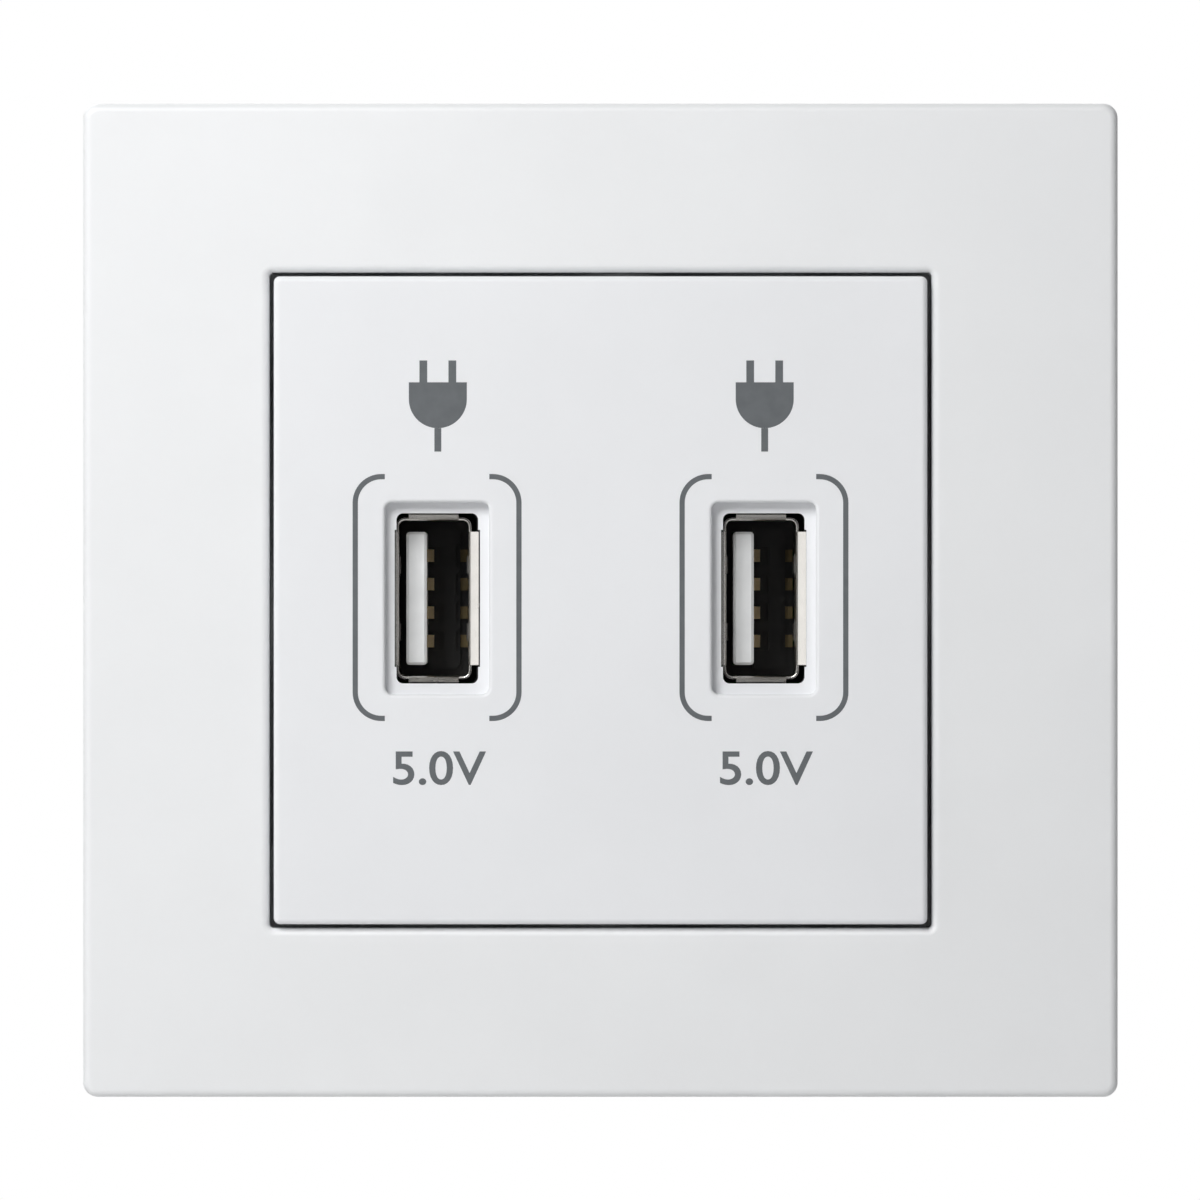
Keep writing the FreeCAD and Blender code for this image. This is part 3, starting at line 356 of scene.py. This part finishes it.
def pick(piece, domain, wanted):
    """Enter edit mode and select the edges or faces for which wanted() is true."""
    edit(piece, domain)
    mesh = bmesh.from_edit_mesh(piece.data)
    for part in mesh.faces if domain == "FACE" else mesh.edges:
        part.select_set(wanted(part))
    bmesh.update_edit_mesh(piece.data)


# %% Placing and finishing
doubled = 0.001 * MM       # points nearer than this are one point


def settle(piece):
    """Put the object's place into its mesh, so that the object sits at the origin."""
    choose([piece])
    bpy.ops.object.transform_apply(location=True, rotation=True, scale=True)


def placed_copy(pattern, place, turn=0.0):
    """A copy of pattern with a mesh of its own, turned about the Y axis and moved to place."""
    piece = pattern.copy()
    piece.data = pattern.data.copy()
    bpy.context.collection.objects.link(piece)
    piece.rotation_euler = (0, turn, 0)
    piece.location = place
    settle(piece)
    return piece


def apply_modifier(piece, kind, **settings):
    """Finish one piece with one modifier."""
    choose([piece])
    modifier = piece.modifiers.new(kind.lower(), kind)
    for name, value in settings.items():
        setattr(modifier, name, value)
    bpy.ops.object.modifier_apply(modifier=modifier.name)


def outward(piece):
    """Merge doubled points, clear faces of no size and turn every face outwards."""
    edit(piece)
    bpy.ops.mesh.select_all(action="SELECT")
    bpy.ops.mesh.remove_doubles(threshold=doubled)
    bpy.ops.mesh.dissolve_degenerate(threshold=doubled)
    bpy.ops.mesh.normals_make_consistent(inside=False)
    bpy.ops.object.mode_set(mode="OBJECT")


# %% [markdown]
# A bracket stands on each side of each port. It could be cut from a rounded frame, but it is drawn
# the way a pen would draw it, because then its line keeps one width: a short stub, a quarter turn,
# the long stroke, another turn and a stub. One bracket is drawn. Turned by half a turn it is the
# opposite one, and copies of it stand at both ports.

# %% Prints on the plate
film = 0.012 * MM
print_y = plate_front - film / 2
port_pitch = 26.2 * MM
port_middle_z = 0.22 * MM


def printed(piece, name):
    """Name a finished mark, give it ink and let it ride with the plate."""
    piece.name = name
    piece.data.name = name
    paint(piece, print_ink)
    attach(piece, "plate")
    front = min(v.co.y for v in piece.data.vertices)
    print(name, "faces", len(piece.data.polygons), "front at", round(front / MM, 3), "mm")


# %% Brackets beside the ports
line_width = 0.42 * MM
bracket_half_width = 6.77 * MM
bracket_half_height = 9.9 * MM
bracket_corner = 2.3 * MM
bracket_stub = 0.28 * MM


def left_bracket():
    """The left bracket of a port at X = 0 and Z = 0, drawn from its upper stub down."""
    turn_x = bracket_corner - bracket_half_width
    straight = 2 * (bracket_half_height - bracket_corner)
    start = Vector((turn_x, print_y, bracket_half_height - line_width / 2))
    deselect()
    bpy.ops.mesh.primitive_plane_add(size=1, rotation=(quarter_turn, 0, 0))
    piece = bpy.context.object
    piece.scale = (bracket_stub, line_width, 1)
    piece.location = start + Vector((bracket_stub / 2, 0, 0))
    settle(piece)
    pick(piece, "EDGE", lambda e: ((e.verts[0].co + e.verts[1].co) / 2 - start).length < close)
    upper = (turn_x, print_y, bracket_half_height - bracket_corner)
    lower = (turn_x, print_y, bracket_corner - bracket_half_height)
    bpy.ops.mesh.spin(steps=14, angle=quarter_turn, center=upper, axis=(0, 1, 0))
    bpy.ops.mesh.extrude_edges_move(TRANSFORM_OT_translate={"value": (0, 0, -straight)})
    bpy.ops.mesh.spin(steps=14, angle=quarter_turn, center=lower, axis=(0, 1, 0))
    bpy.ops.mesh.extrude_edges_move(TRANSFORM_OT_translate={"value": (bracket_stub, 0, 0)})
    outward(piece)
    apply_modifier(piece, "SOLIDIFY", thickness=film, offset=0.0)
    outward(piece)
    return piece


pattern = left_bracket()
for port, sign in port_sides.items():
    for where, turn in (("left", 0.0), ("right", math.pi)):
        mark = placed_copy(pattern, (sign * port_pitch / 2, 0, port_middle_z), turn)
        printed(mark, "bracket_" + port + "_port_" + where)
bpy.data.objects.remove(pattern)

# %% [markdown]
# Above each port a plain plug sign tells what the port is for: two pins, a cup-shaped body and a
# lead. It could be a curve that is filled, but four simple solids are easier to size, and each one
# can be read as a part of the plug. The cup is a disc that is cut in half and drawn up to its rim.

# %% Plug sign
sign_width = 4.65 * MM
sign_height = 7.3 * MM
sign_centre_z = 15.57 * MM
sign_shift = 0.06 * MM
pin_width = 0.62 * MM
pin_height = 1.75 * MM
cup_rim = 1.35 * MM
lead_width = 0.55 * MM


def solid_box(low, high):
    """A plain box from its lowest to its highest corner."""
    deselect()
    bpy.ops.mesh.primitive_cube_add(size=1)
    piece = bpy.context.object
    piece.scale = [b - a for a, b in zip(low, high)]
    piece.location = [(a + b) / 2 for a, b in zip(low, high)]
    settle(piece)
    return piece


def flat_box(width, height, x, z):
    """A thin printed box on the plate's face."""
    return solid_box((x - width / 2, plate_front - film, z - height / 2),
                     (x + width / 2, plate_front, z + height / 2))


def plug_cup(z):
    """The plug's body: a disc cut across its middle, with a straight rim drawn up from the cut."""
    deselect()
    bpy.ops.mesh.primitive_cylinder_add(vertices=64, radius=sign_width / 2, depth=film,
                                        location=(0, print_y, z), rotation=(quarter_turn, 0, 0))
    piece = bpy.context.object
    settle(piece)
    edit(piece, "FACE")
    bpy.ops.mesh.select_all(action="SELECT")
    bpy.ops.mesh.bisect(plane_co=(0, 0, z), plane_no=(0, 0, 1), use_fill=True, clear_outer=True)
    pick(piece, "FACE", lambda face: face.normal.z > square_on)
    bpy.ops.mesh.extrude_region_move(TRANSFORM_OT_translate={"value": (0, 0, cup_rim)})
    bpy.ops.object.mode_set(mode="OBJECT")
    return piece


def join(pieces):
    """Make several pieces one object."""
    choose(pieces)
    bpy.ops.object.join()
    outward(pieces[0])
    return pieces[0]


def plug_sign():
    """The sign of a port at X = 0."""
    top = sign_centre_z + sign_height / 2
    cup_z = top - pin_height - cup_rim
    lead_top = cup_z - sign_width / 2
    lead_bottom = sign_centre_z - sign_height / 2
    cup = plug_cup(cup_z)
    pins = [flat_box(pin_width, pin_height, side * sign_width / 4, top - pin_height / 2)
            for side in (-1, 1)]
    lead = flat_box(lead_width, lead_top - lead_bottom, 0, (lead_top + lead_bottom) / 2)
    return join([cup, lead] + pins)


pattern = plug_sign()
for port, sign in port_sides.items():
    mark = placed_copy(pattern, (sign * port_pitch / 2 + sign_shift, 0, 0))
    printed(mark, "plug_sign_" + port)
bpy.data.objects.remove(pattern)

# %% [markdown]
# Below each port stands the voltage in plain figures. They could be drawn as curves, but a text
# object has them ready. It is made a mesh first and only then scaled to the figures' real height,
# so that the scale goes into the mesh.

# %% Voltage figures
figure_height = 2.73 * MM
figure_width = 7.45 * MM
figure_centre_z = -13.45 * MM
figure_shift = 0.2 * MM
stroke_weight = 0.012      # thickens the strokes, in text units
text_depth = 0.01          # any depth does, because the scale makes it a film


def extent(piece):
    """The lowest and the highest corner of a settled piece."""
    points = [v.co for v in piece.data.vertices]
    return (Vector([min(p[i] for p in points) for i in range(3)]),
            Vector([max(p[i] for p in points) for i in range(3)]))


def figures(text):
    """Plain figures of their real size, as a thin film, at X = 0."""
    deselect()
    bpy.ops.object.text_add(rotation=(quarter_turn, 0, 0))
    letters = bpy.context.object.data
    letters.body = text
    letters.offset = stroke_weight
    letters.extrude = text_depth
    letters.resolution_u = 6
    bpy.ops.object.convert(target="MESH")
    piece = bpy.context.object
    settle(piece)
    low, high = extent(piece)
    size = high - low
    piece.scale = (figure_width / size.x, film / size.y, figure_height / size.z)
    settle(piece)
    low, high = extent(piece)
    piece.location = Vector((0, print_y, figure_centre_z)) - (low + high) / 2
    settle(piece)
    return piece


pattern = figures("5.0V")
for port, sign in port_sides.items():
    mark = placed_copy(pattern, (sign * port_pitch / 2 + figure_shift, 0, 0))
    printed(mark, "voltage_" + port)
bpy.data.objects.remove(pattern)

# %% [markdown]
# A long screw drives each claw. Its thread could be a bump, but the outline would stay straight,
# so the ridge is real: a Screw modifier winds a small triangle round the shank, one turn for each
# pitch, over a core of the thread's root diameter. The head is rounded at its rim and slotted.
# Each screw stands exactly where the plain CAD screw is, and replaces it.

# %% Rods, rims and joined solids
def combine(piece, other, operation):
    """Join other to piece as one solid, or cut it away, and remove it."""
    apply_modifier(piece, "BOOLEAN", operation=operation, object=other, solver="EXACT")
    bpy.data.objects.remove(other)


def rod(y0, y1, r):
    """A closed cylinder on the Y axis, from y0 to y1."""
    deselect()
    bpy.ops.mesh.primitive_cylinder_add(vertices=64, radius=r, depth=y1 - y0,
                                        location=(0, (y0 + y1) / 2, 0),
                                        rotation=(quarter_turn, 0, 0))
    piece = bpy.context.object
    settle(piece)
    return piece


def soften_rim(piece, y, size, segments):
    """Bevel the rim that lies in the plane y."""
    pick(piece, "EDGE", lambda edge: all(abs(v.co.y - y) < close for v in edge.verts))
    bpy.ops.mesh.bevel(offset=size, segments=segments, affect="EDGES")
    bpy.ops.object.mode_set(mode="OBJECT")


# %% Thread
thread_pitch = 0.5 * MM
thread_depth = 0.27 * MM
thread_sunk = 0.03 * MM
thread_half_foot = 0.45 * thread_pitch
shank_r = 1.5 * MM


def thread_ridge(start, end):
    """A right-hand ridge round the Y axis with a triangular section, closed at both ends."""
    triangle_across, triangle_half_foot = 1.5, math.sin(math.pi / 3)    # at a radius of 1
    deselect()
    bpy.ops.mesh.primitive_circle_add(vertices=3, radius=1.0, fill_type="NOTHING",
                                      rotation=(0, 0, -quarter_turn))
    ridge = bpy.context.object
    settle(ridge)
    ridge_scale = (thread_depth + thread_sunk) / triangle_across
    ridge.scale = (ridge_scale, thread_half_foot / triangle_half_foot, 1)
    ridge.location = (shank_r - ridge_scale, 0, 0)
    settle(ridge)
    apply_modifier(ridge, "SCREW", axis="Y", screw_offset=thread_pitch, steps=20,
                   render_steps=20, iterations=int((end - start) / thread_pitch))
    edit(ridge)
    bpy.ops.mesh.select_all(action="SELECT")
    bpy.ops.mesh.fill_holes(sides=3)
    bpy.ops.object.mode_set(mode="OBJECT")
    ridge.location = (0, start, 0)
    settle(ridge)
    return ridge


# %% Claw screws
shoulder_end = 0.6 * MM
screw_head_height = 2.0 * MM
screw_rim_r = 0.5 * MM
screw_tip_chamfer = 0.3 * MM
screw_slot_width = 0.7 * MM
screw_slot_depth = 0.9 * MM
smooth_below = math.radians(35)


def claw_screw(low, high):
    """A claw screw at X = 0, as long and as wide as the CAD screw in the box low to high."""
    head_back = low.y + screw_head_height
    head = rod(low.y, head_back, (high.x - low.x) / 2)
    soften_rim(head, low.y, screw_rim_r, segments=5)
    half_slot = screw_slot_width / 2
    cutter = solid_box((-2 * shank_r, low.y - screw_slot_depth, -half_slot),
                       (2 * shank_r, low.y + screw_slot_depth, half_slot))
    combine(head, cutter, "DIFFERENCE")
    shoulder = rod(head_back - 2 * thread_sunk, shoulder_end, shank_r)
    core = rod(shoulder_end - 2 * thread_sunk, high.y, shank_r - thread_depth)
    soften_rim(core, high.y, screw_tip_chamfer, segments=1)
    ridge = thread_ridge(shoulder_end, high.y - 2 * screw_tip_chamfer)
    return join([head, shoulder, core, ridge])


def stand_in(piece, name, node, material, body):
    """Name and finish a piece that stands where a CAD node is, and let it ride with a body."""
    choose([piece])
    bpy.ops.object.shade_smooth_by_angle(angle=smooth_below)
    piece.name = name
    piece.data.name = name
    paint(piece, material)
    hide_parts(node)
    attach(piece, body)
    print(name, "faces", len(piece.data.polygons))


pattern = claw_screw(*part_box("claw_screw_left"))
for port in port_sides:
    node = "claw_screw_" + port
    low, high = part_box(node)
    screw = placed_copy(pattern, ((low.x + high.x) / 2, 0, 0))
    stand_in(screw, "threaded_" + node, node, bright_zinc, node)
bpy.data.objects.remove(pattern)

# %% [markdown]
# The receptacle shells are the bright metal in the ports, stamped from sheet 0.3 mm thick. Each
# lip leaves the tube in a sharp bend and then runs out straight, so that the whole lip mirrors one
# place in the room, and the tube's front rim is rounded by the press. Four leaves stand in windows
# of the long walls, to grip a plug. The shell could be folded from one flat sheet, but its
# thickness is easier to keep when the tube, the lips, the leaves and the legs are made on their
# own and then joined as solids. Each shell stands where the plain CAD shell is, and replaces it.

# %% Strips of sheet
shell_sheet = 0.3 * MM
root_overlap = 0.2 * MM     # how deep a strip reaches into the tube, so that they join as solids


def sheet_end(x, y, z, width, thickness):
    """The end face of a strip of sheet, facing along Y, left selected to be drawn out."""
    deselect()
    bpy.ops.mesh.primitive_plane_add(size=1, rotation=(quarter_turn, 0, 0))
    strip = bpy.context.object
    strip.scale = (thickness, width, 1)
    strip.location = (x + thickness / 2, y, z)
    settle(strip)
    edit(strip, "FACE")
    bpy.ops.mesh.select_all(action="SELECT")
    return strip


def draw_out(*moves):
    """Extrude the selected face along each move in turn."""
    for move in moves:
        bpy.ops.mesh.extrude_region_move(TRANSFORM_OT_translate={"value": move})


def close_and_turn(strip, turn):
    """Close the strip's ends and turn it about the tube's axis to the wall that it belongs to."""
    outward(strip)
    edit(strip)
    bpy.ops.mesh.select_all(action="SELECT")
    bpy.ops.mesh.fill_holes(sides=4)
    outward(strip)
    strip.rotation_euler = (0, turn, 0)
    settle(strip)
    return strip


# %% Flared lips
# How far a lip turns out, the radius of its bend on the port's side, its straight run, its width.
side_lip = {"angle": math.radians(60), "bend_r": 0.38 * MM, "run": 0.72 * MM, "width": 10.7 * MM}
end_lip = {"angle": math.radians(45), "bend_r": 0.38 * MM, "run": 0.50 * MM, "width": 4.0 * MM}


def flared_lip(start, front, turn, angle, bend_r, run, width):
    """A lip that leaves the wall at x = start along -Y, bends outwards and runs straight."""
    strip = sheet_end(start, front + root_overlap, 0, width, shell_sheet)
    draw_out((0, -root_overlap, 0))
    bpy.ops.mesh.spin(steps=6, angle=-angle, center=(start + bend_r, front, 0), axis=(0, 0, 1))
    draw_out((run * math.sin(angle), -run * math.cos(angle), 0))
    return close_and_turn(strip, turn)


# %% Tube with windows
shell_half_x = 2.8 * MM
shell_half_z = 6.25 * MM
shell_corner_r = 0.75 * MM
shell_rim_r = 0.12 * MM
shell_back = 5.5 * MM
window_front = -5.6 * MM
window_back = 0.4 * MM
window_width = 2.0 * MM
window_half_spacing = 2.7 * MM


def runs_back(edge):
    """Whether an edge runs along the tube."""
    return abs(edge.verts[0].co.y - edge.verts[1].co.y) > shell_sheet


def shell_tube(front):
    """A rounded tube of sheet, open at both ends, with two windows through its long walls."""
    out_x = shell_half_x + shell_sheet
    out_z = shell_half_z + shell_sheet
    tube = solid_box((-out_x, front, -out_z), (out_x, shell_back, out_z))
    pick(tube, "EDGE", runs_back)
    bpy.ops.mesh.bevel(offset=shell_corner_r, segments=6, affect="EDGES")
    pick(tube, "FACE", lambda face: abs(face.normal.y) > square_on)
    bpy.ops.mesh.delete(type="ONLY_FACE")
    apply_modifier(tube, "SOLIDIFY", thickness=shell_sheet, offset=-1.0, use_even_offset=True)
    soften_rim(tube, front, shell_rim_r, segments=3)
    for side in (-1, 1):
        z = side * window_half_spacing
        cutter = solid_box((-2 * out_x, window_front, z - window_width / 2),
                           (2 * out_x, window_back, z + window_width / 2))
        combine(tube, cutter, "DIFFERENCE")
    return tube


# %% Springs and legs
spring_bow = 0.2 * MM
spring_sheet = 0.22 * MM
leg_width = 1.2 * MM
leg_half_spacing = 2.5 * MM


def shell_spring(z, turn):
    """A leaf that grips the plug: rooted at the window's back and bowed inwards."""
    third = (window_back - window_front - 2 * shell_sheet) / 3
    width = window_width - 2 * shell_sheet
    strip = sheet_end(shell_half_x, window_back + root_overlap, z, width, spring_sheet)
    draw_out((0, -root_overlap, 0), (-spring_bow, -2 * third, 0), (spring_bow / 2, -third, 0))
    return close_and_turn(strip, turn)


def shell_leg(z, turn, back):
    """A leg that goes through the board."""
    strip = sheet_end(shell_half_x, shell_back - root_overlap, z, leg_width, shell_sheet)
    draw_out((0, back - shell_back + root_overlap, 0))
    return close_and_turn(strip, turn)


# %% Receptacle shells
def receptacle_shell(front, back):
    """A shell round the Y axis, from the lips' edge at front to the legs' tips at back."""
    bend = side_lip["bend_r"] * math.sin(side_lip["angle"])
    tube_front = front + bend + side_lip["run"] * math.cos(side_lip["angle"])
    shell = shell_tube(tube_front)
    for turn in (0, math.pi):
        end_turn = turn + quarter_turn
        combine(shell, flared_lip(shell_half_x, tube_front, turn, **side_lip), "UNION")
        combine(shell, flared_lip(shell_half_z, tube_front, end_turn, **end_lip), "UNION")
        for side in (-1, 1):
            combine(shell, shell_spring(side * window_half_spacing, turn), "UNION")
            combine(shell, shell_leg(side * leg_half_spacing, turn, back), "UNION")
    return shell


low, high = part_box("usb_shell_left")
pattern = receptacle_shell(low.y, high.y)
for port in port_sides:
    node = "usb_shell_" + port
    low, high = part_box(node)
    shell = placed_copy(pattern, ((low.x + high.x) / 2, 0, (low.z + high.z) / 2))
    outward(shell)
    stand_in(shell, "flared_" + node, node, nickel, "insert")
bpy.data.objects.remove(pattern)

# %% [markdown]
# The socket belongs on a wall, but a wall would hide its back. So it hangs free over a sheet of
# pale card, the studio's floor, which lies low enough to stay out of the front view. The floor,
# the lamps and the camera are given in metres.

# %% Floor
floor_top = -0.090
floor_width, floor_depth = 1.2, 0.6
floor_middle_y = 0.05
deselect()
bpy.ops.mesh.primitive_grid_add(x_subdivisions=8, y_subdivisions=8, size=1.0)
floor = bpy.context.object
floor.name = "floor"
floor.scale = (floor_width, floor_depth, 1)
floor.location = (0, floor_middle_y, floor_top)
settle(floor)
floor_card = new_material("matt_white_card", "#F2F2F2", roughness=0.8)
grain(floor_card, size=0.5, depth=0.01)
paint(floor, floor_card)

# %% [markdown]
# The room round the object is dim, and darker still in mirrored rays, as it is on the camera's
# side of a studio. A bright room would be simpler, but it would wash out the shaded ledges of the
# ports. The sheet behind the object is white to the camera, in reflections and through glass. No
# other ray sees that white, so it adds no light to matt surfaces.

# %% Room light
room_strength = 0.20
mirrored_strength = 0.09
sheet_starts = 0.3         # rays that point this much backwards meet the sheet
world = bpy.data.worlds.new("dim_room")
bpy.context.scene.world = world
world.use_nodes = True
world.node_tree.nodes.clear()
ray = add(world, "ShaderNodeLightPath").outputs
dimming = add(world, "ShaderNodeMath",
              [(ray["Is Glossy Ray"], 0), (mirrored_strength - room_strength, 1),
               (room_strength, 2)], operation="MULTIPLY_ADD")
room = add(world, "ShaderNodeBackground", [(dimming.outputs["Value"], "Strength")],
           Color=linear("#F6F7F8"))
white = add(world, "ShaderNodeBackground", Color=linear("#FFFFFF"), Strength=1.0)
way = add(world, "ShaderNodeTexCoord")
axes = add(world, "ShaderNodeSeparateXYZ", [(way.outputs["Generated"], "Vector")])
behind = add(world, "ShaderNodeMath", [(axes.outputs["Y"], 0), (sheet_starts, 1)],
             operation="GREATER_THAN")
mirrored = add(world, "ShaderNodeMath",
               [(ray["Is Glossy Ray"], 0), (ray["Is Transmission Ray"], 1)], operation="MAXIMUM")
sheet = add(world, "ShaderNodeMath",
            [(mirrored.outputs["Value"], 0), (behind.outputs["Value"], 1)], operation="MULTIPLY")
factor = add(world, "ShaderNodeMath",
             [(ray["Is Camera Ray"], 0), (sheet.outputs["Value"], 1)], operation="MAXIMUM")
mix = add(world, "ShaderNodeMixShader",
          [(factor.outputs["Value"], 0), (room.outputs["Background"], 1),
           (white.outputs["Background"], 2)])
add(world, "ShaderNodeOutputWorld", [(mix.outputs["Shader"], "Surface")])
print("room", room_strength, "in mirrored rays", mirrored_strength)

# %% [markdown]
# The object is lit as a catalogue photograph is. A large far lamp would light it evenly, so the
# key lamp stands close by, up on the left: its light falls off across the frame and leaves the
# left and upper ledges of the port pockets in shade. A small weak panel farther out on the left
# hardly lights the front. It is there for the metal lips on the right of the ports, which mirror
# it. A third lamp stands behind, for views of the back, and adds next to nothing to the front.

# %% Lamps
def soft_lamp(name, place, size, watts):
    """A square area lamp of size metres that stands at place and faces the origin."""
    data = bpy.data.lights.new(name, "AREA")
    data.size = size
    data.energy = watts
    lamp = bpy.data.objects.new(name, data)
    bpy.context.scene.collection.objects.link(lamp)
    lamp.location = place
    lamp.rotation_euler = (Vector((0, 0, 0)) - Vector(place)).to_track_quat("-Z", "Y").to_euler()
    print(name, watts, "W")


soft_lamp("key_lamp", (-0.135, -0.28, 0.20), size=0.16, watts=0.99)
soft_lamp("left_panel", (-0.42, -0.24, 0.0), size=0.2, watts=0.16)
soft_lamp("back_panel", (-0.25, 0.45, 0.45), size=0.4, watts=1.2)

# %% [markdown]
# The photograph shows the socket square on, with almost no perspective, so the camera stands more
# than a metre away behind a long lens. The lens follows from the width that the picture shows.

# %% Camera
view_width = 96.19 * MM
camera_distance = 1.2
camera_x, camera_z = -0.04 * MM, 0.02 * MM
long_lens = bpy.data.cameras.new("long_lens")
long_lens.sensor_fit = "HORIZONTAL"
long_lens.sensor_width = 36.0
long_lens.lens = long_lens.sensor_width * camera_distance / view_width
camera = bpy.data.objects.new("long_lens", long_lens)
bpy.context.scene.collection.objects.link(camera)
camera.location = (camera_x, plate_front - camera_distance, camera_z)
camera.rotation_euler = (quarter_turn, 0, 0)
bpy.context.scene.camera = camera
bpy.context.scene.view_settings.view_transform = "Standard"
print("lens", round(long_lens.lens, 1), "mm")
